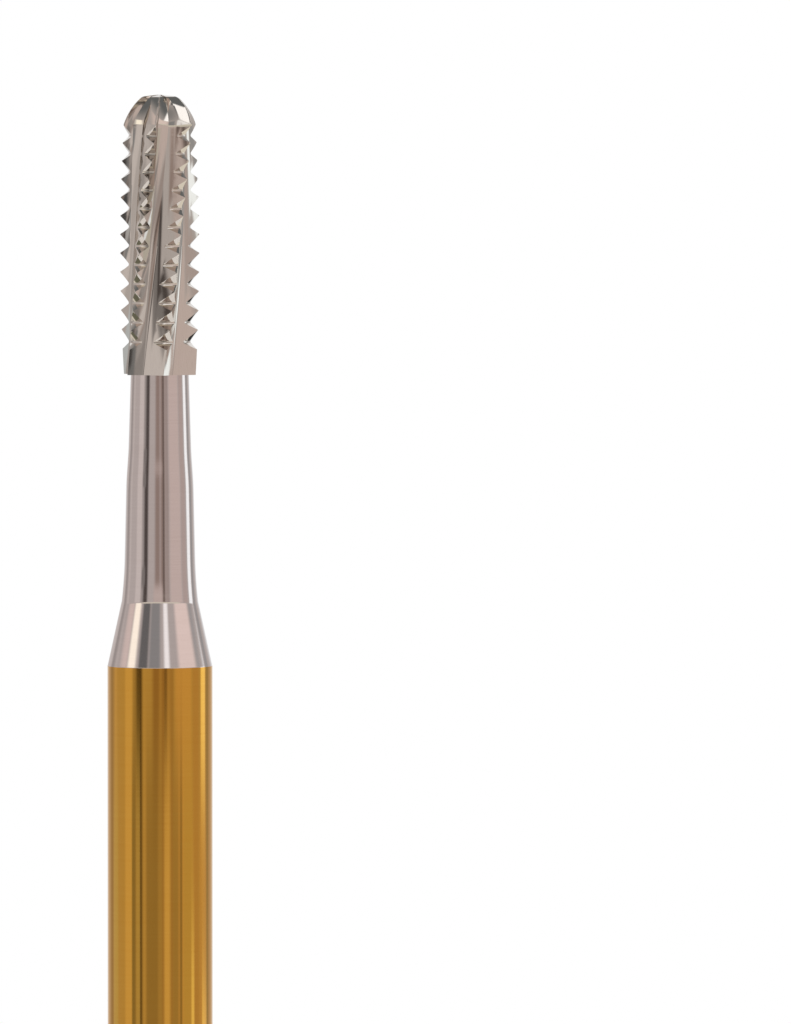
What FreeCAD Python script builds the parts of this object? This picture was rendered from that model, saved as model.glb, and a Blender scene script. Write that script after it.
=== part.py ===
# A round-end crosscut dental bur with a friction-grip shank, in millimetres.
# The tungsten carbide cutting head is ground with twisted saw-tooth blades and V-shaped crosscuts,
# and is brazed by its flat back onto the neck of a turned and ground steel shank.
# The origin is the centre of the shank's flat end. +Z runs up the axis to the tip of the head.

import FreeCAD
import Part

import math
import os

# Shank, from its free end up
shank_radius = 0.80
shank_length = 12.315
end_chamfer = 0.20
shoulder_length = 0.985
shoulder_edge_round = 0.10

# Neck, with drops measured down from the cutting head. It flares out over its lowest part
neck_length = 3.45
neck_root_radius = 0.5815
neck_flare_length = 0.68
neck_flare_radius = 0.537
neck_swell_radius = 0.514
neck_swell_drop = 1.76
neck_waist_radius = 0.476
neck_waist_drop = 1.09
neck_tip_radius = 0.443

# Cutting head
head_radius = 0.602
head_length = 4.25
blade_count = 6
blade_lead = 27.5
first_blade_angle = -84.0
braze_margin = 0.005

# Flutes, at the back of the head and where the dome starts. Angles are measured at the axis,
# from the cutting edge in front of the flute to the foot of its rake face and to the flute's bottom,
# and from the next blade's cutting edge back to its heel. Below the heel the blade's back bulges
rake_foot_radius = 0.452
rake_foot_angle_back = 19.5
rake_foot_angle_front = 2.0
flute_bottom_angle_back = 21.5
flute_bottom_angle_front = 25.0
flute_radius_front = 0.395
heel_radius = 0.478
heel_angle_back = 24.5
heel_angle_front = 16.5
back_bulge_back = 0.001
back_bulge_front = 0.008

# Domed end of the head: arched sides, a rounded corner and a shallow point with a small flat.
# The flutes' floors sink by a share of their radius towards the point
dome_length = 0.44
dome_foot_angle = 18.0
dome_side_radius = 0.85
dome_corner_radius = 0.20
point_radius = 0.04
point_angle = 6.0
point_heel_angle = 34.0
dome_flute_sink = 0.5

# Crosscuts: rings of V grooves across the blades, closer together towards the dome.
# The flank on a crosscut's back side is the narrower one
crosscut_pitch_back = 0.301
crosscut_pitch_front = 0.269
crosscut_depth = 0.13
crosscut_crest = 0.010
crosscut_root_flat = 0.030
crosscut_back_share = 0.38
collar_length = 0.386

# How finely the lofts follow the twist and the dome, and the crosscutting comb's thickness
sections_per_turn = 54
comb_back = 0.1
dome_side_steps = 4
dome_corner_steps = 5

shoulder_bottom = shank_length
neck_bottom = shoulder_bottom + shoulder_length
head_bottom = neck_bottom + neck_length
head_top = head_bottom + head_length
dome_bottom = head_top - dome_length
flute_radius_back = neck_tip_radius + braze_margin
blade_pitch = 360.0 / blade_count

AXIS_POINT = FreeCAD.Vector(0, 0, 0)
AXIS = FreeCAD.Vector(0, 0, 1)


def polar(radius, degrees, z):
    """The point at a radius and an angle about the axis, at a height."""
    turn = math.radians(degrees)
    return FreeCAD.Vector(radius * math.cos(turn), radius * math.sin(turn), z)


def line(start, end):
    return Part.LineSegment(start, end).toShape()


def bend(start, end, start_direction, end_direction):
    """A smooth curve between two points that leaves and arrives in the given directions."""
    curve = Part.BSplineCurve()
    curve.interpolate([start, end], InitialTangent=start_direction, FinalTangent=end_direction)
    return curve.toShape()


def rounded_corner(before, corner, after, radius):
    """Start, middle and end of the arc of a radius that rounds the corner between two straight lines."""
    back = (before - corner).normalize()
    ahead = (after - corner).normalize()
    half_angle = back.getAngle(ahead) / 2
    reach = radius / math.tan(half_angle)
    to_centre = (back + ahead).normalize()
    centre = corner + to_centre * (radius / math.sin(half_angle))
    return corner + back * reach, centre - to_centre * radius, corner + ahead * reach


def blade_angle(z):
    """Angle of the first blade's cutting edge, which climbs the head as a right-hand helix."""
    return first_blade_angle + 360.0 * (z - head_bottom) / blade_lead


def head_value(back, front, z):
    """A size that changes evenly from the back of the head to the start of the dome."""
    share = min(1.0, (z - head_bottom) / (dome_bottom - head_bottom))
    return back + (front - back) * share


def saw_tooth_section(outer, z):
    """Closed cross-section of the blades, with their cutting edges at a radius, at a height.

    From each cutting edge the steep rake face drops to its foot, the floor slopes on to the flute's
    bottom, and the back of the next blade rises in a slight bulge to the heel and along the land.
    Over the dome the lands keep their width, so that the flutes close up towards the point, and the
    flutes' floors sink.
    """
    scale = outer / head_radius
    floor_scale = scale * (1 - dome_flute_sink * (1 - scale))
    rake_foot_angle = head_value(rake_foot_angle_back, rake_foot_angle_front, z)
    flute_bottom_angle = head_value(flute_bottom_angle_back, flute_bottom_angle_front, z)
    flute_radius = head_value(flute_radius_back, flute_radius_front, z)
    heel_angle = head_value(heel_angle_back, heel_angle_front, z)
    back_bulge = head_value(back_bulge_back, back_bulge_front, z)
    if outer < head_radius:
        heel_angle = min(heel_angle / scale, point_heel_angle)
    edges = []
    for blade in range(blade_count):
        angle = blade_angle(z) + blade * blade_pitch
        cutting_edge = polar(outer, angle, z)
        rake_foot = polar(rake_foot_radius * floor_scale, angle + rake_foot_angle, z)
        flute_bottom = polar(flute_radius * floor_scale, angle + flute_bottom_angle, z)
        heel = polar(heel_radius * scale, angle + blade_pitch - heel_angle, z)
        next_edge = polar(outer, angle + blade_pitch, z)
        chord = heel - flute_bottom
        outward = FreeCAD.Vector(chord.y, -chord.x, 0).normalize()
        bulge = (flute_bottom + heel) / 2 + outward * back_bulge * scale
        edges += [
            line(cutting_edge, rake_foot),
            line(rake_foot, flute_bottom),
            Part.Arc(flute_bottom, bulge, heel).toShape(),
            line(heel, next_edge),
        ]
    return Part.Wire(edges)


def arc_points(centre, radius, start, end, steps):
    """Points of an arc in the XZ plane, with its angles in radians from the X axis, its end left out."""
    angles = [start + (end - start) * step / steps for step in range(steps)]
    return [centre + FreeCAD.Vector(math.cos(angle), 0, math.sin(angle)) * radius for angle in angles]


def dome_outline():
    """Radius and height of the cutting edges over the dome, from its bottom up to the flat on its point.

    The side arc leans in by the foot angle at its start. The corner arc goes on from it without a
    kink and ends on the straight line that slopes up to the crown.
    """
    foot_angle = math.radians(dome_foot_angle)
    line_angle = math.radians(90.0 - point_angle)
    foot = FreeCAD.Vector(head_radius, 0, dome_bottom)
    crown = FreeCAD.Vector(point_radius, 0, head_top)
    foot_normal = FreeCAD.Vector(math.cos(foot_angle), 0, math.sin(foot_angle))
    line_normal = FreeCAD.Vector(math.cos(line_angle), 0, math.sin(line_angle))
    side_centre = foot - foot_normal * dome_side_radius
    # the corner's centre is this far from the side's, and one corner radius below the crown's line
    between = dome_side_radius - dome_corner_radius
    rise = (crown - side_centre) * line_normal - dome_corner_radius
    joint_angle = line_angle - math.acos(max(0.0, min(1.0, rise / between)))
    joint_normal = FreeCAD.Vector(math.cos(joint_angle), 0, math.sin(joint_angle))
    corner_centre = side_centre + joint_normal * between
    points = arc_points(side_centre, dome_side_radius, foot_angle, joint_angle, dome_side_steps)
    points += arc_points(corner_centre, dome_corner_radius, joint_angle, line_angle, dome_corner_steps)
    points += [corner_centre + line_normal * dome_corner_radius, crown]
    return [(point.x, point.z) for point in points]


def crosscut_comb():
    """A comb of V-shaped teeth turned about the axis, which cuts every crosscut at once.

    Each crosscut starts at the back edge of its mouth, and takes the pitch at that height.
    """
    root_radius = head_radius - crosscut_depth
    # the comb's teeth run on a little past the cutting edges, but never as far as their neighbours
    spare = crosscut_crest / 4
    reach = head_radius + spare
    profile = []
    mouth = head_bottom + collar_length
    while True:
        pitch = head_value(crosscut_pitch_back, crosscut_pitch_front, mouth)
        flanks = pitch - crosscut_crest - crosscut_root_flat
        back_flank = flanks * crosscut_back_share
        front_flank = flanks - back_flank
        root_start = mouth + back_flank
        root_end = root_start + crosscut_root_flat
        mouth_end = root_end + front_flank
        if mouth_end > dome_bottom:
            break
        profile += [
            FreeCAD.Vector(reach, 0, mouth - spare * back_flank / crosscut_depth),
            FreeCAD.Vector(root_radius, 0, root_start),
            FreeCAD.Vector(root_radius, 0, root_end),
            FreeCAD.Vector(reach, 0, mouth_end + spare * front_flank / crosscut_depth),
        ]
        mouth += pitch
    back = head_radius + comb_back
    profile += [
        FreeCAD.Vector(back, 0, profile[-1].z),
        FreeCAD.Vector(back, 0, profile[0].z),
        profile[0],
    ]
    return Part.Face(Part.makePolygon(profile)).revolve(AXIS_POINT, AXIS, 360)


def cutting_head():
    """The ground carbide head: a twisted saw-tooth bar, its fluted dome, and the crosscuts."""
    straight = dome_bottom - head_bottom
    steps = max(2, math.ceil(sections_per_turn * straight / blade_lead))
    heights = [head_bottom + straight * step / steps for step in range(steps + 1)]
    bar = Part.makeLoft([saw_tooth_section(head_radius, z) for z in heights], True)
    dome = Part.makeLoft([saw_tooth_section(radius, z) for radius, z in dome_outline()], True, True)
    return bar.fuse(dome).cut(crosscut_comb())


def shank():
    """Neck, shoulder and gripped shank, turned from one steel rod."""
    axis_bottom = FreeCAD.Vector(0, 0, 0)
    end_edge = FreeCAD.Vector(shank_radius - end_chamfer, 0, 0)
    chamfer_top = FreeCAD.Vector(shank_radius, 0, end_chamfer)
    shoulder = FreeCAD.Vector(shank_radius, 0, shoulder_bottom)
    root = FreeCAD.Vector(neck_root_radius, 0, neck_bottom)
    flare = FreeCAD.Vector(neck_flare_radius, 0, neck_bottom + neck_flare_length)
    swell = FreeCAD.Vector(neck_swell_radius, 0, head_bottom - neck_swell_drop)
    waist = FreeCAD.Vector(neck_waist_radius, 0, head_bottom - neck_waist_drop)
    tip = FreeCAD.Vector(neck_tip_radius, 0, head_bottom)
    axis_top = FreeCAD.Vector(0, 0, head_bottom)
    shoulder_arc = rounded_corner(chamfer_top, shoulder, root, shoulder_edge_round)
    # the neck's straight run goes on into the flare with no kink, and the flare bends evenly
    run = (swell - flare) * (neck_flare_length / (swell.z - flare.z))
    edges = [
        line(axis_bottom, end_edge),
        line(end_edge, chamfer_top),
        line(chamfer_top, shoulder_arc[0]),
        Part.Arc(*shoulder_arc).toShape(),
        line(shoulder_arc[2], root),
        bend(root, flare, (flare - root) * 2 - run, run),
        line(flare, swell),
        bend(swell, waist, swell - flare, tip - waist),
        line(waist, tip),
        line(tip, axis_top),
        line(axis_top, axis_bottom),
    ]
    return Part.Face(Part.Wire(edges)).revolve(AXIS_POINT, AXIS, 360)


os.makedirs("parts", exist_ok=True)
for name, shape in (("cutting_head", cutting_head()), ("shank", shank())):
    shape.exportStep(f"parts/{name}.step")
    print(name, "solids", len(shape.Solids), "faces", len(shape.Faces), "valid", shape.isValid())
    print("  volume", round(shape.Volume, 4), "box", shape.BoundBox)
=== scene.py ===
# A round-end crosscut dental bur, dressed for the photograph's view.
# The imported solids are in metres. The lengths written here are in millimetres, as on a drawing,
# and MM turns them into metres. Heights run up the axis from the shank's flat end.
import math

import bmesh
import bpy
import numpy as np
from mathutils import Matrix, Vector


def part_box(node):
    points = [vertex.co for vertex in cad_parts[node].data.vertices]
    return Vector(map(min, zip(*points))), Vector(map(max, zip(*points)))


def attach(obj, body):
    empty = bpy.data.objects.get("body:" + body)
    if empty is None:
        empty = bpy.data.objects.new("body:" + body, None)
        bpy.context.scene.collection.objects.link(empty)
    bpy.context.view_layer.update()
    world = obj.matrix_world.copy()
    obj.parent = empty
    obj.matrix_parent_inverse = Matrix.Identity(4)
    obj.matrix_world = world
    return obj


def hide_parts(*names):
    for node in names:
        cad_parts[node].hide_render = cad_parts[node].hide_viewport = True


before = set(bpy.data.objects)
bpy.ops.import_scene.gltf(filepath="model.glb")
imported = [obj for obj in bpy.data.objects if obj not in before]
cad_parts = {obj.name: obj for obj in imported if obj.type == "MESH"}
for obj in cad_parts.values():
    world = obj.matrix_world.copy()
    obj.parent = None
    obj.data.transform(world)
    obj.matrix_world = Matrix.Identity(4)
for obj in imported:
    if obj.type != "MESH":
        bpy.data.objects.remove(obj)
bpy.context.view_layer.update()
scene = bpy.context.scene

# The cutting head.
# A rod of tungsten carbide, sintered and then ground: six right-hand blades, a fluted dome and
# twelve rings of crosscuts. Its flat back is brazed onto the neck of the shank.
MM = 0.001
head_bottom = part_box("shank")[1][2] / MM
head_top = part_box("cutting_head")[1][2] / MM
head_radius = 0.602
blade_count = 6
blade_pitch = 360.0 / blade_count
blade_lead = 27.5
first_blade_angle = -84.0
# The blades' outline at the back of the head and at the dome's foot, with its angles in degrees.
flute = {
    "rake_foot_angle": (19.5, 2.0),
    "flute_bottom_angle": (21.5, 25.0),
    "flute_radius": (0.448, 0.395),
    "heel_angle": (24.5, 16.5),
    "heel_radius": (0.469, 0.478),
    "back_bulge": (0.001, 0.008),
}
rake_foot_radius = 0.452
dome_length = 0.44
dome_foot_angle = 18.0
dome_side_radius = 0.85
dome_corner_radius = 0.20
point_radius = 0.04
point_angle = 6.0
point_heel_angle = 34.0
dome_flute_sink = 0.5
crosscut_pitch = (0.301, 0.269)
crosscut_depth = 0.13
crosscut_crest = 0.010
crosscut_root_flat = 0.030
crosscut_root_round = 0.025
crosscut_back_share = 0.38
collar_length = 0.386
cutting_edge_round = 0.004
dome_edge_round = 0.011
# A rounded edge peaks at this share of the height between where its rounding starts and the sharp edge.
edge_round_peak = 0.75
foot_blend = 0.05
# How far a ground face is hollow or a land crowned, as a share of its own width.
hollow = 0.03
land_crown = 0.02
flank_hollow = 0.022
dome_bottom = head_top - dome_length
# How many steps the mesh takes along each stretch of the blades' outline, and up the head.
outline_steps = {"back": 6, "land": 6, "top": 9, "rake": 7, "floor": 9}
rise_steps = {
    "collar": 8, "flank": 8, "root": 3, "dome_foot": 4, "dome_side": 17, "dome_corner": 13, "point": 7,
}


def ring_at(radius, degrees):
    """Points of a circle about the axis: radius times cosine and sine, with x and y last."""
    turn = np.radians(degrees)
    return np.stack([radius * np.cos(turn), radius * np.sin(turn)], axis=-1)


def rounded_profile(before, corner, after, radius, steps):
    """Points along the arc of a radius that is tangent to both lines of a corner."""
    before, corner, after = (np.asarray(point, float) for point in (before, corner, after))
    back = (before - corner) / np.linalg.norm(before - corner)
    ahead = (after - corner) / np.linalg.norm(after - corner)
    half_angle = math.acos(np.clip(back @ ahead, -1, 1)) / 2
    inward = (back + ahead) / np.linalg.norm(back + ahead)
    centre = corner + inward * radius / math.sin(half_angle)
    start = corner + back * radius / math.tan(half_angle) - centre
    end = corner + ahead * radius / math.tan(half_angle) - centre
    turn = math.acos(np.clip(start @ end / radius**2, -1, 1))
    share = np.linspace(0, 1, steps + 1)[:, None]
    return centre + (np.sin((1 - share) * turn) * start + np.sin(share * turn) * end) / math.sin(turn)


def arc_points(centre, radius, start, end, steps):
    """Points of an arc about a centre between two angles in radians, which rise from the radius's axis."""
    angle = np.linspace(start, end, steps + 1)
    return np.asarray(centre) + radius * np.stack([np.cos(angle), np.sin(angle)], axis=1)


def dome_profile():
    """Radius and height of the cutting edges over the dome.

    An arc leans in from the foot, a tighter arc rounds the corner, and a straight line runs to the point.
    """
    foot_angle = math.radians(dome_foot_angle)
    line_angle = math.radians(90 - point_angle)
    line_normal = np.array([math.cos(line_angle), math.sin(line_angle)])
    crown = np.array([point_radius, head_top])
    side_centre = np.array([
        head_radius - dome_side_radius * math.cos(foot_angle),
        dome_bottom - dome_side_radius * math.sin(foot_angle),
    ])
    between = dome_side_radius - dome_corner_radius
    rise = (crown - side_centre) @ line_normal - dome_corner_radius
    joint_angle = line_angle - math.acos(rise / between)
    corner_centre = side_centre + between * np.array([math.cos(joint_angle), math.sin(joint_angle)])
    side = arc_points(side_centre, dome_side_radius, foot_angle, joint_angle, rise_steps["dome_side"])
    corner = arc_points(corner_centre, dome_corner_radius, joint_angle, line_angle, rise_steps["dome_corner"])
    along = np.linspace(0, 1, rise_steps["point"] + 1)[1:, None]
    return np.concatenate([side[:-1], corner, corner[-1] + (crown - corner[-1]) * along])


def along_head(back, front, z):
    """A size that changes evenly from the back of the head to the start of the dome."""
    return back + (front - back) * np.clip((z - head_bottom) / (dome_bottom - head_bottom), 0, 1)


def flank(start, end, share):
    """A crosscut's wall: its chord, hollowed into the tooth by a parabola as the wheel's edge leaves it."""
    chord = np.asarray(end) - start
    return start + chord * share + np.array([-chord[1], chord[0]]) * flank_hollow * 4 * share * (1 - share)


def crosscut_rows():
    """Heights up the straight part of the head, with the radius that the crosscuts leave at each.

    A crosscut has a narrow flank on its back side, a wide one on the other, and a rounded root. Between
    crosscuts, and over the collar, the radius left is the whole radius of the head.
    """
    root_radius = head_radius - crosscut_depth
    mouth = head_bottom + collar_length
    collar = np.linspace(head_bottom, mouth, rise_steps["collar"] + 1)[:-1]
    rows = [np.stack([np.full(len(collar), head_radius), collar], axis=1)]
    share = np.linspace(0, 1, rise_steps["flank"] + 1)[:, None]
    while True:
        pitch = along_head(*crosscut_pitch, mouth)
        flanks = pitch - crosscut_crest - crosscut_root_flat
        root_start = mouth + flanks * crosscut_back_share
        root_end = root_start + crosscut_root_flat
        mouth_end = mouth + pitch - crosscut_crest
        if mouth_end > dome_bottom:
            break
        start, foot = (head_radius, mouth), (root_radius, root_start)
        top, end = (root_radius, root_end), (head_radius, mouth_end)
        low = rounded_profile(start, foot, top, crosscut_root_round, rise_steps["root"])
        high = rounded_profile(foot, top, end, crosscut_root_round, rise_steps["root"])
        rows += [flank(start, low[0], share[:-1]), low, high, flank(high[-1], end, share[1:])]
        mouth += pitch
    last = np.linspace(mouth - crosscut_crest, dome_bottom, rise_steps["dome_foot"] + 1)[1:-1]
    rows.append(np.stack([np.full(len(last), head_radius), last], axis=1))
    return np.concatenate(rows)


def first_crossing(curve, low, high, radius, halvings=40):
    """Where a curve that climbs from one value of its parameter to another reaches a radius, by halving."""
    low = np.full(len(radius), float(low))
    high = np.full(len(radius), float(high))
    for _ in range(halvings):
        middle = (low + high) / 2
        inside = np.linalg.norm(curve(middle[:, None])[:, 0], axis=-1) < radius
        low = np.where(inside, middle, low)
        high = np.where(inside, high, middle)
    return (low + high) / 2


def blend_foot(z, scale):
    """Rounds a scale's corner at the dome's foot: a parabola that meets the lines on both sides of it."""
    within = np.abs(z - dome_bottom) < foot_blend
    past = np.interp(dome_bottom + foot_blend, z, scale)
    rise = (z - dome_bottom + foot_blend) / (2 * foot_blend)
    return np.where(within, 1 - (1 - past) * rise**2, scale)


def bowed(start, chord, t, bow):
    """Points along a chord from a start, set to its right by a parabola as high as a share of its length."""
    aside = np.stack([chord[:, 1], -chord[:, 0]], axis=1)
    return start[:, None] + chord[:, None] * t + aside[:, None] * bow * 4 * t * (1 - t)


def head_surface():
    """The head as a grid of rows up the axis and columns round the blades, in millimetres.

    Every row is a ratchet-wheel outline. From the flute's bottom the back of a blade rises along a
    slightly bulging arc to the heel and along the barely crowned land to the cutting edge. A steep rake
    face and a sloping floor lead down to the next flute, both a little hollow from the round grinding
    wheel. Where a crosscut leaves a smaller radius, the outline follows a circle of that radius between
    the land and the rake face instead. The outlines turn with height about the axis by one lead for
    each whole turn.
    """
    straight = crosscut_rows()
    dome = dome_profile()
    left, z = np.concatenate([straight, dome]).T
    outer = np.concatenate([np.full(len(straight), head_radius), dome[:, 0]])
    on_dome = outer < head_radius
    scale = outer / head_radius
    heel_scale = blend_foot(z, scale)
    floor_scale = blend_foot(z, scale * (1 - dome_flute_sink * (1 - scale)))
    value = {name: along_head(back, front, z) for name, (back, front) in flute.items()}
    dome_heel_angle = np.minimum(value["heel_angle"] / scale, point_heel_angle)
    heel_angle = np.where(on_dome, dome_heel_angle, value["heel_angle"])
    edge = ring_at(outer, 0 * z)
    next_edge = ring_at(outer, blade_pitch + 0 * z)
    rake_foot = ring_at(rake_foot_radius * floor_scale, value["rake_foot_angle"])
    bottom = ring_at(value["flute_radius"] * floor_scale, value["flute_bottom_angle"])
    heel = ring_at(value["heel_radius"] * heel_scale, blade_pitch - heel_angle)
    chord = heel - bottom
    outward = np.stack([chord[:, 1], -chord[:, 0]], axis=1)
    outward /= np.linalg.norm(outward, axis=1, keepdims=True)
    bulge = outward * (value["back_bulge"] * scale)[:, None]

    def back(t):
        """From the flute's bottom at 0, over the bulging back, to the heel at 1 and the edge at 2."""
        t = t[..., None]
        rising = np.minimum(t, 1)
        along = np.maximum(t - 1, 0)
        arc = bottom[:, None] + chord[:, None] * rising + bulge[:, None] * 4 * rising * (1 - rising)
        return arc + bowed(0 * heel, next_edge - heel, along, land_crown)

    def rake(t):
        """From the rake face's foot at 0 up to the cutting edge at 1."""
        return bowed(rake_foot, edge - rake_foot, t[..., None], hollow)

    def shares(stretch):
        """Even shares from 0 to 1 along a stretch of the outline."""
        return np.linspace(0, 1, outline_steps[stretch] + 1)

    edge_round = np.where(on_dome, dome_edge_round, cutting_edge_round) * scale
    limit = np.minimum(left, outer - edge_round)
    back_end = first_crossing(back, 0, 2, limit)
    rake_end = first_crossing(rake, 0, 1, limit)
    heel_end = np.minimum(back_end, 1)
    back_columns = back(heel_end[:, None] * shares("back"))
    land_columns = back(heel_end[:, None] + (back_end - heel_end)[:, None] * shares("land")[1:])
    top_start = land_columns[:, -1]
    top_end = rake(rake_end[:, None])[:, 0]
    turn_start = np.degrees(np.arctan2(top_start[:, 1], top_start[:, 0]))
    turn_end = np.degrees(np.arctan2(top_end[:, 1], top_end[:, 0])) + blade_pitch
    top = shares("top")[1:]
    rise = np.minimum(left, outer) - limit
    top_angle = turn_start[:, None] + (turn_end - turn_start)[:, None] * top
    top_radius = limit[:, None] + rise[:, None] * edge_round_peak * 4 * top * (1 - top)
    top_columns = ring_at(top_radius, top_angle)
    rake_columns = rake(rake_end[:, None] * shares("rake")[::-1][1:])
    floor_columns = bowed(rake_foot, bottom - rake_foot, shares("floor")[1:-1, None], -hollow)
    turn = np.radians(blade_pitch)
    onward = np.array([[math.cos(turn), math.sin(turn)], [-math.sin(turn), math.cos(turn)]])
    blade = np.concatenate(
        [back_columns, land_columns, top_columns, rake_columns @ onward, floor_columns @ onward], axis=1
    )
    lead_angle = first_blade_angle + 360 * (z - head_bottom) / blade_lead
    ring = []
    for number in range(blade_count):
        turn = np.radians(lead_angle + number * blade_pitch)[:, None]
        x = blade[..., 0] * np.cos(turn) - blade[..., 1] * np.sin(turn)
        y = blade[..., 0] * np.sin(turn) + blade[..., 1] * np.cos(turn)
        ring.append(np.stack([x, y, np.broadcast_to(z[:, None], x.shape)], axis=-1))
    return np.concatenate(ring, axis=1)


def lathe_mesh(name, grid, sharp_degrees):
    """A closed mesh from a grid of rings in millimetres, each joined to the next, with a fan at both ends."""
    rows, columns = grid.shape[:2]
    ends = [[0, 0, grid[0, 0, 2]], [0, 0, grid[-1, 0, 2]]]
    points = np.concatenate([grid.reshape(-1, 3), ends]) * MM
    number = np.arange(rows * columns).reshape(rows, columns)
    onward = np.roll(number, -1, axis=1)
    quads = np.stack([number[:-1], onward[:-1], onward[1:], number[1:]], axis=-1).reshape(-1, 4)
    low = np.stack([np.full(columns, rows * columns), onward[0], number[0]], axis=-1)
    high = np.stack([np.full(columns, rows * columns + 1), number[-1], onward[-1]], axis=-1)
    mesh = bpy.data.meshes.new(name)
    mesh.from_pydata(points.tolist(), [], quads.tolist() + low.tolist() + high.tolist())
    merge_doubles(mesh)
    mesh.shade_smooth()
    mesh.set_sharp_from_angle(angle=math.radians(sharp_degrees))
    piece = bpy.data.objects.new(name, mesh)
    scene.collection.objects.link(piece)
    return piece


def merge_doubles(mesh, merged_within=2e-5, flat_within=1e-5):
    """Joins the points that meet where a land or a crosscut runs out, and drops the faces left flat."""
    work = bmesh.new()
    work.from_mesh(mesh)
    bmesh.ops.remove_doubles(work, verts=work.verts, dist=merged_within * MM)
    bmesh.ops.dissolve_degenerate(work, edges=work.edges, dist=flat_within * MM)
    work.to_mesh(mesh)
    work.free()


def linear(hex_colour):
    """The linear light values of an sRGB hex colour, by the sRGB curve."""
    parts = [int(hex_colour[n : n + 2], 16) / 255 for n in (1, 3, 5)]
    return [part / 12.92 if part <= 0.04045 else ((part + 0.055) / 1.055) ** 2.4 for part in parts] + [1.0]


def add_node(tree, kind, settings=None, links=None):
    """Adds a node with its properties and input values, and links its inputs to other nodes' outputs."""
    node = tree.nodes.new(kind)
    for key, value in (settings or {}).items():
        if isinstance(key, int) or key in node.inputs:
            node.inputs[key].default_value = value
        else:
            setattr(node, key, value)
    for key, output in (links or {}).items():
        tree.links.new(output, node.inputs[key])
    return node


def new_material(name):
    """An empty material and its node tree."""
    material = bpy.data.materials.new(name)
    material.use_nodes = True
    material.node_tree.nodes.clear()
    return material, material.node_tree


def marked_metal(name, colours, roughness, spacing, rates, noise, slope=None):
    """A bright metal whose fine marks shift its colour and its roughness a little, and its slope if given.

    The marks are a noise with about one grain to each spacing, in millimetres. The rates are how fast it
    changes along x, y and z: a rate below 1 draws the marks out along that axis.
    """
    material, tree = new_material(name)
    place = add_node(tree, "ShaderNodeTexCoord")
    scale = [rate / (spacing * MM) for rate in rates]
    stretched = add_node(tree, "ShaderNodeMapping", {"Scale": scale}, {"Vector": place.outputs["Object"]})
    marks = add_node(
        tree, "ShaderNodeTexNoise", {"Scale": 1.0, **noise}, {"Vector": stretched.outputs["Vector"]}
    ).outputs["Fac"]
    rough = add_node(
        tree, "ShaderNodeMapRange", {"To Min": roughness[0], "To Max": roughness[1]}, {"Value": marks}
    )
    colour = add_node(
        tree, "ShaderNodeMix", {"data_type": "RGBA", 6: linear(colours[0]), 7: linear(colours[1])}, {0: marks}
    )
    links = {"Base Color": colour.outputs[2], "Roughness": rough.outputs["Result"]}
    if slope:
        links["Normal"] = add_node(tree, "ShaderNodeBump", slope, {"Height": marks}).outputs["Normal"]
    shader = add_node(tree, "ShaderNodeBsdfPrincipled", {"Metallic": 1.0}, links)
    add_node(tree, "ShaderNodeOutputMaterial", {}, {"Surface": shader.outputs["BSDF"]})
    return material


# Ground with fine diamond wheels, the carbide is a warm silvery grey, bright but less than steel. The
# wheels' scratches run along the flutes. They are drawn coarser than the real ones, so that they show
# as a faint grain in the reflections.
ground_carbide = marked_metal(
    "ground tungsten carbide", colours=("#D0C9C1", "#C5BCB4"), roughness=(0.05, 0.08),
    spacing=0.012, rates=(1, 1, 0.06), noise={"Detail": 2.0, "Roughness": 0.5},
    slope={"Strength": 0.15, "Distance": 0.0004 * MM},
)
head = lathe_mesh("carbide_head", head_surface(), sharp_degrees=26)
head.data.materials.append(ground_carbide)
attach(head, "root")
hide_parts("cutting_head")

# The shank.
# One rod of stainless steel, turned and then polished: the gripped cylinder, the shoulder cone and the
# slender neck whose flat end carries the head.
shank_radius = 0.80
shank_length = 12.315
end_chamfer = 0.20
shoulder_edge_round = 0.10
shoulder_length = 0.985
neck_root_radius = 0.5815
neck_flare_length = 0.68
neck_flare_radius = 0.537
neck_swell_radius = 0.514
neck_swell_drop = 1.76
neck_waist_radius = 0.476
neck_waist_drop = 1.09
neck_tip_radius = 0.443
plating_thickness = 0.0025
turned_edge_round = 0.012
# Two rings stand this share of their line away from the sharp corner where the neck meets the cone, so
# that the shading turns there and not along the whole cone.
corner_margin = 0.03
turned_steps = {"round": 288, "edge": 4, "shoulder_edge": 6, "flare": 13, "waist": 15}


def turned_surface(profile):
    """A profile of radius and height carried round the axis, as rings of a grid."""
    profile = np.asarray(profile, float)
    turn = np.linspace(0, 2 * math.pi, turned_steps["round"], endpoint=False)
    x = profile[:, :1] * np.cos(turn)
    y = profile[:, :1] * np.sin(turn)
    return np.stack([x, y, np.broadcast_to(profile[:, 1:], x.shape)], axis=-1)


def bend(start, end, start_run, end_run, steps):
    """Points of a cubic Hermite curve that leaves and arrives with the given runs, its ends left out."""
    t = np.linspace(0, 1, steps + 1)[1:-1, None]
    return (
        (2 * t**3 - 3 * t**2 + 1) * start + (t**3 - 2 * t**2 + t) * start_run
        + (3 * t**2 - 2 * t**3) * end + (t**3 - t**2) * end_run
    )


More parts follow.
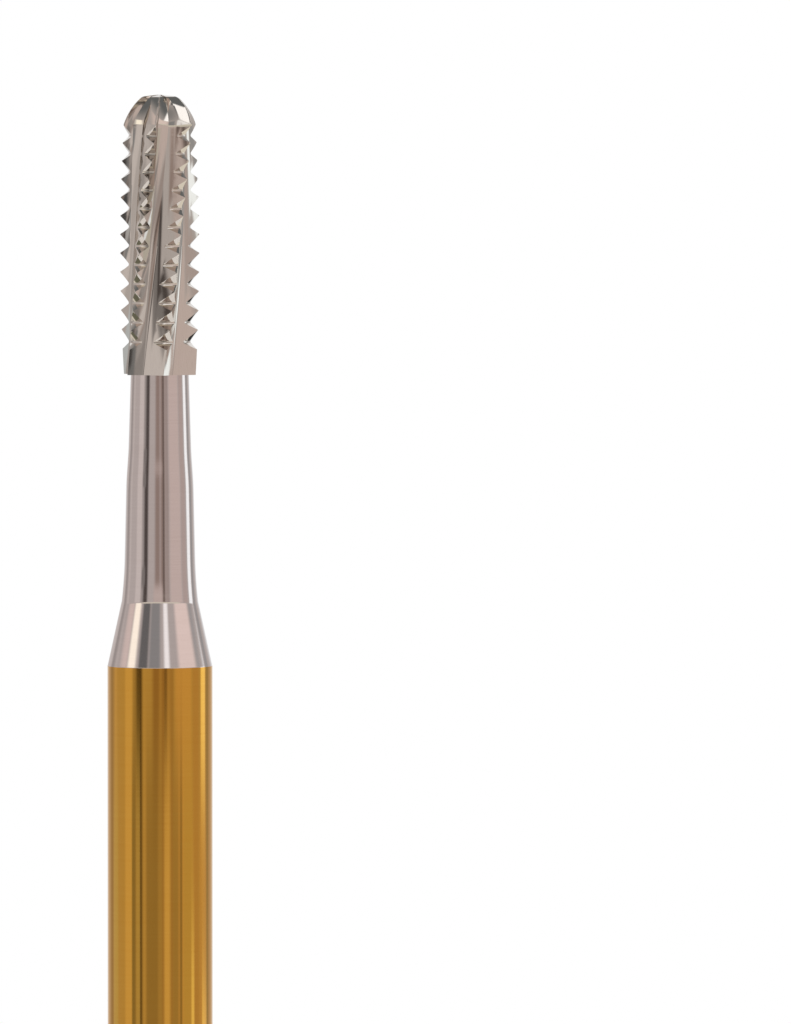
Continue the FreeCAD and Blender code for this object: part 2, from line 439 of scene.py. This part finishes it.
def rod_profile():
    """Radius and height up the steel rod: thinner by the plating where it is plated, and bare above.

    The flare at the neck's root is a parabola, because the runs of its bend add up to twice its chord.
    """
    core = shank_radius - plating_thickness
    end = np.array([core - end_chamfer, plating_thickness])
    chamfer = np.array([core, plating_thickness + end_chamfer])
    shoulder = np.array([core, shank_length])
    root = np.array([neck_root_radius, shank_length + shoulder_length])
    flare = np.array([neck_flare_radius, root[1] + neck_flare_length])
    swell = np.array([neck_swell_radius, head_bottom - neck_swell_drop])
    waist = np.array([neck_waist_radius, head_bottom - neck_waist_drop])
    tip = np.array([neck_tip_radius, head_bottom])
    slope = (swell - flare) / (swell[1] - flare[1])
    tip_slope = (tip - waist) / (tip[1] - waist[1])
    run = slope * neck_flare_length
    rise = waist[1] - swell[1]
    return np.concatenate([
        rounded_profile((0, end[1]), end, chamfer, turned_edge_round, turned_steps["edge"]),
        rounded_profile(end, chamfer, shoulder, turned_edge_round, turned_steps["edge"]),
        rounded_profile(chamfer, shoulder, root, shoulder_edge_round, turned_steps["shoulder_edge"]),
        [root + (shoulder - root) * corner_margin, root, root + (flare - root) * corner_margin],
        bend(root, flare, (flare - root) * 2 - run, run, turned_steps["flare"])[1:],
        [flare, swell],
        bend(swell, waist, slope * rise, tip_slope * rise, turned_steps["waist"]),
        [waist, tip],
    ])


# Turned and polished, the steel is bright and a little warm, with fine marks round the axis. They are
# drawn coarser than the real ones, so that they show.
turned_steel = marked_metal(
    "polished stainless steel", colours=("#D4CAC7", "#CBC0BC"), roughness=(0.06, 0.09),
    spacing=0.02, rates=(0.03, 0.03, 1), noise={"Detail": 3.0, "Roughness": 0.6},
    slope={"Strength": 0.1, "Distance": 0.0003 * MM},
)
rod = lathe_mesh("steel_rod", turned_surface(rod_profile()), sharp_degrees=35)
rod.data.materials.append(turned_steel)
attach(rod, "root")
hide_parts("shank")

# The plating.
# A gold-coloured skin a few thousandths of a millimetre thick, plated over the gripped part of the
# shank and its free end. It stops in a clean line where the shoulder cone starts.


def skin_wall(inset):
    """Radius and height of the plated end, chamfer and side up to the gold line, set in by a thickness."""
    radius = shank_radius - inset
    end = (radius - end_chamfer, inset)
    chamfer = (radius, inset + end_chamfer)
    top = (radius, shank_length)
    return np.concatenate([
        rounded_profile((0, end[1]), end, chamfer, turned_edge_round, turned_steps["edge"]),
        rounded_profile(end, chamfer, top, turned_edge_round, turned_steps["edge"]),
        [top],
    ])


# Over the polished rod the plating is a deep yellow metal that keeps the rod's fine marks.
gold_plating = marked_metal(
    "polished gold plating", colours=("#D6A145", "#D0983C"), roughness=(0.06, 0.09),
    spacing=0.03, rates=(0.03, 0.03, 1), noise={"Detail": 3.0, "Roughness": 0.6},
)
skin_profile = np.concatenate([skin_wall(0), skin_wall(plating_thickness)[::-1]])
plating = lathe_mesh("gold_plating", turned_surface(skin_profile), sharp_degrees=35)
plating.data.materials.append(gold_plating)
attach(plating, "root")

# The studio.
# A small pale table under the bur and a surround of broad soft boxes and dark cards, which polished
# metal shows as lengthwise streaks. The camera looks slightly down, from a long way off.
table_radius = 14.0
table_sides = 96
table_lift = 0.6


def pale_table():
    """A matt white table top, lifted to white for the camera and in reflections, that keeps a shadow."""
    material, tree = new_material("matt white table")
    path = add_node(tree, "ShaderNodeLightPath")
    seen = add_node(
        tree, "ShaderNodeMath", {"operation": "MAXIMUM"},
        {0: path.outputs["Is Camera Ray"], 1: path.outputs["Is Glossy Ray"]},
    )
    lift = add_node(tree, "ShaderNodeMath", {"operation": "MULTIPLY", 1: table_lift}, {0: seen.outputs[0]})
    matt = add_node(tree, "ShaderNodeBsdfDiffuse", {"Color": (0.9, 0.9, 0.9, 1)})
    glow = add_node(tree, "ShaderNodeEmission", {"Color": (1, 1, 1, 1)}, {"Strength": lift.outputs[0]})
    both = add_node(tree, "ShaderNodeAddShader", {}, {0: matt.outputs[0], 1: glow.outputs[0]})
    add_node(tree, "ShaderNodeOutputMaterial", {}, {"Surface": both.outputs[0]})
    return material


rim_angle = np.linspace(0, 360, table_sides, endpoint=False)
rim = np.column_stack([ring_at(table_radius, rim_angle), 0 * rim_angle]) * MM
table_top = bpy.data.meshes.new("table")
table_top.from_pydata(rim.tolist(), [], [list(range(table_sides))])
table = bpy.data.objects.new("table", table_top)
scene.collection.objects.link(table)
table.data.materials.append(pale_table())

# The surround is a plain room, with soft boxes, strip lamps, screens and dark flags that stand round the
# bur in rows, each row laid over the ones before it. A row has its lowest and highest edge and the soft
# edge there, in degrees above the horizon. A lamp or flag has the direction of its middle in degrees
# from the camera's side towards +X, half its width, the soft edge of its sides, a brightness and a tint.
# The ground and the ceiling reach past straight down and straight up, and all the way round.
room_level = 0.58
tints = {
    "cool": (0.92, 1.0, 1.04),
    "white": (0.98, 1.0, 1.02),
    "cream": (1.04, 1.0, 0.88),
    "olive": (1.0, 1.0, 0.72),
    "pale pink": (1.06, 1.0, 0.98),
    "pink": (1.16, 1.0, 0.95),
    "rose": (1.27, 1.0, 0.90),
}
rows = {
    "ground all round": ((-120, -28, 16), {
        "cream cloth": (0, 200, 10, 1.0, "cream"),
    }),
    "ceiling": ((38, 120, 24), {
        "dark ceiling": (0, 200, 10, 0.20, "cool"),
    }),
    "walls": ((-34, 10, 3), {
        "back wall": (180, 26, 32, 0.96, "white"),
        "grey screen, back left": (-130, 7, 10, 0.44, "pale pink"),
        "large soft box, left": (-90, 24, 8, 0.61, "pale pink"),
        "narrow panel, back left": (-113, 4, 8, 0.69, "pale pink"),
        "light panel, left": (-72, 10, 8, 0.77, "pale pink"),
        "grey screen, left": (-55, 5, 6, 0.47, "pale pink"),
        "dark flag, left of the camera": (-46, 7, 9, 0.09, "pink"),
        "soft box, front left": (-28, 8, 8, 0.60, "pale pink"),
        "dark screen round the camera": (2, 17, 10, 0.31, "rose"),
        "slit beside the camera": (2, 3, 6, 0.45, "pink"),
        "dark flag, right of the camera": (13, 3, 4, 0.16, "rose"),
        "grey screen, right of the camera": (25, 6, 8, 0.42, "pink"),
        "large soft box, right": (54, 20, 10, 0.67, "pink"),
        "grey screen, right": (86, 9, 8, 0.53, "pink"),
        "strip lamp, right": (110, 8, 6, 1.5, "cool"),
        "grey screen, back right": (128, 6, 7, 0.45, "white"),
    }),
    "back left": ((-1.4, 9, 1), {
        "curtain, back left": (-158, 20, 10, 0.68, "pale pink"),
    }),
    "table edge": ((-11, -3.8, 1), {
        "cool panel, back left": (-114, 9, 6, 0.74, "cool"),
        "reflector, left": (-49, 5, 4, 0.62, "white"),
        "flag, left": (-60, 4, 4, 0.34, "white"),
        "dark cloth in front": (-16, 14, 8, 0.38, "pale pink"),
        "grey panel in front": (1, 5, 6, 0.48, "pale pink"),
        "light panel in front": (16, 7, 8, 0.78, "pale pink"),
        "grey cloth, right of the camera": (36, 7, 8, 0.44, "pale pink"),
        "flag, right": (48, 3, 4, 0.34, "pale pink"),
        "soft box, right": (65, 12, 8, 0.64, "cream"),
        "pink panel, right": (110, 13, 6, 0.60, "pink"),
    }),
    "under the table edge": ((-11, -5.4, 1), {
        "small lamp, right": (78, 4, 4, 1.25, "cool"),
        "strip lamp, right": (116, 9, 6, 1.5, "cool"),
    }),
    "shelf": ((-15.5, -10.6, 1.2), {
        "black cloth, front left": (-25, 13, 8, 0.10, "white"),
        "dark cloth in front": (5, 14, 8, 0.25, "white"),
        "grey cloth, front right": (31, 10, 8, 0.30, "pale pink"),
    }),
    "under the shelf": ((-34, -13, 2), {
        "black card under the camera": (14, 11, 7, 0.07, "pale pink"),
        "black card, back right": (153, 11, 6, 0.05, "white"),
    }),
    "ground, left": ((-62, -38, 4), {
        "olive cloth on the ground": (-122, 22, 8, 0.20, "olive"),
    }),
    "just above the horizon": ((1.6, 5.2, 1.2), {
        "grey flag, left": (-54, 6, 6, 0.27, "pale pink"),
    }),
    "over the camera": ((6, 10.4, 2.2), {
        "panel over the camera": (-5, 14, 10, 0.62, "pink"),
    }),
    "upper": ((12.5, 30, 3), {
        "back wall": (180, 40, 16, 1.1, "white"),
        "grey screen, back left": (-126, 10, 14, 0.50, "pink"),
        "soft box, left": (-93, 12, 9, 0.78, "pink"),
        "strip lamp, left": (-68, 10, 9, 1.5, "cream"),
        "dark flag, left": (-39, 11, 8, 0.19, "white"),
        "grey screen in front": (-12, 13, 9, 0.36, "white"),
        "strip lamp, right": (17, 6, 8, 1.35, "white"),
        "soft box, right": (67, 22, 12, 0.92, "pink"),
        "grey screen, right": (112, 17, 10, 0.48, "white"),
    }),
    "reflector": ((9.8, 15.5, 1.2), {
        "reflector in front": (5, 58, 12, 0.85, "cream"),
    }),
    "overhead": ((31, 58, 3), {
        "soft box overhead": (38, 22, 6, 1.7, "white"),
    }),
    "boom": ((58, 78, 4), {
        "boom lamp over the camera": (-15, 30, 10, 1.6, "cream"),
    }),
}


def lamp_colour(level, tint):
    """A brightness in one of the tints."""
    return [*(level * np.array(tints[tint])), 1.0]


def share_within(tree, angle, middle, half_width, soft_edge):
    """1 within half a width of a middle and 0 beyond it, round the circle, with a smooth step between."""
    aside = add_node(tree, "ShaderNodeMath", {"operation": "SUBTRACT", 1: math.radians(middle)}, {0: angle})
    wrapped = add_node(
        tree, "ShaderNodeMath", {"operation": "WRAP", 1: math.pi, 2: -math.pi}, {0: aside.outputs[0]}
    )
    distance = add_node(tree, "ShaderNodeMath", {"operation": "ABSOLUTE"}, {0: wrapped.outputs[0]})
    step = {
        "interpolation_type": "SMOOTHSTEP",
        "From Min": math.radians(half_width + soft_edge / 2),
        "From Max": math.radians(half_width - soft_edge / 2),
    }
    return add_node(tree, "ShaderNodeMapRange", step, {"Value": distance.outputs[0]}).outputs["Result"]


def row_of_lamps(tree, light, bearing, height, edges, lamps):
    """Lays a row of lamps and flags over the light that is already there."""
    low, high, end_edge = edges
    row = light
    for direction, half_width, side_edge, level, tint in lamps.values():
        share = share_within(tree, bearing, direction, half_width, side_edge)
        lamp = {"data_type": "RGBA", 7: lamp_colour(level, tint)}
        row = add_node(tree, "ShaderNodeMix", lamp, {0: share, 6: row}).outputs[2]
    share = share_within(tree, height, (low + high) / 2, (high - low) / 2, end_edge)
    return add_node(tree, "ShaderNodeMix", {"data_type": "RGBA"}, {0: share, 6: light, 7: row}).outputs[2]


world = bpy.data.worlds.new("studio")
world.use_nodes = True
tree = world.node_tree
tree.nodes.clear()
place = add_node(tree, "ShaderNodeTexCoord")
split = add_node(tree, "ShaderNodeSeparateXYZ", {}, {0: place.outputs["Generated"]})
away = add_node(tree, "ShaderNodeMath", {"operation": "MULTIPLY", 1: -1.0}, {0: split.outputs["Y"]})
bearing = add_node(
    tree, "ShaderNodeMath", {"operation": "ARCTAN2"}, {0: split.outputs["X"], 1: away.outputs[0]}
).outputs[0]
height = add_node(tree, "ShaderNodeMath", {"operation": "ARCSINE"}, {0: split.outputs["Z"]}).outputs[0]
room = add_node(tree, "ShaderNodeRGB")
room.outputs[0].default_value = lamp_colour(room_level, "pale pink")
light = room.outputs[0]
for edges, lamps in rows.values():
    light = row_of_lamps(tree, light, bearing, height, edges, lamps)
path = add_node(tree, "ShaderNodeLightPath")
seen = add_node(
    tree, "ShaderNodeMix", {"data_type": "RGBA", 7: (1, 1, 1, 1)},
    {0: path.outputs["Is Camera Ray"], 6: light},
)
sky = add_node(tree, "ShaderNodeBackground", {"Strength": 1.0}, {"Color": seen.outputs[2]})
add_node(tree, "ShaderNodeOutputWorld", {}, {"Surface": sky.outputs[0]})
scene.world = world

camera_elevation = math.radians(2.4)
camera_distance = 259.5
aim = np.array([3.5826, 0.0, 14.656])
camera_data = bpy.data.cameras.new("camera")
camera_data.lens = 600
camera_data.sensor_width = 36
camera_data.clip_start = 0.01
camera = bpy.data.objects.new("camera", camera_data)
back_to_camera = np.array([0.0, -math.cos(camera_elevation), math.sin(camera_elevation)])
camera.location = (aim + back_to_camera * camera_distance) * MM
camera.rotation_euler = (math.pi / 2 - camera_elevation, 0, 0)
scene.collection.objects.link(camera)
scene.camera = camera
scene.view_settings.view_transform = "Standard"
